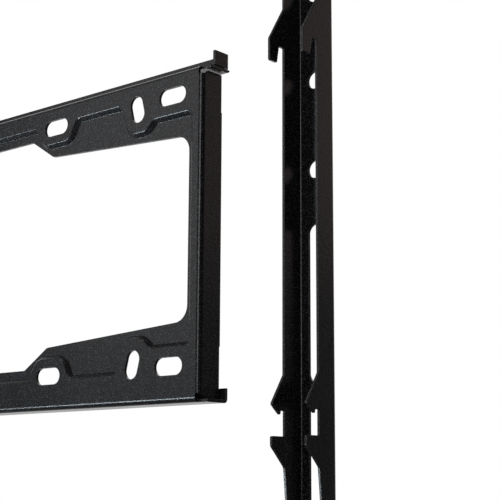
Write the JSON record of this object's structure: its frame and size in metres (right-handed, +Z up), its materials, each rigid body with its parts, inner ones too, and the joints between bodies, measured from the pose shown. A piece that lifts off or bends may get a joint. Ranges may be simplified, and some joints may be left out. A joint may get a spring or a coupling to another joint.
{
  "type": "tv wall bracket",
  "caption": "Fixed wall bracket for a flat television: a folded, embossed wall plate with a large window, and a pair of channel arms whose hooks hang on its lips.",
  "frame": {"origin": "on the wall face, in the middle of the pattern of the plate's outer wall slots", "axes": "+X along the plate, +Y away from the wall towards the television, +Z up"},
  "size_m": [0.6298, 0.0377, 0.43],
  "materials": {
    "black_powder_coat": "fine textured satin powder coat"
  },
  "bodies": {
    "root": {"wall_plate": "black_powder_coat", "right_arm": "black_powder_coat", "left_arm": "black_powder_coat"}
  },
  "joints": []
}
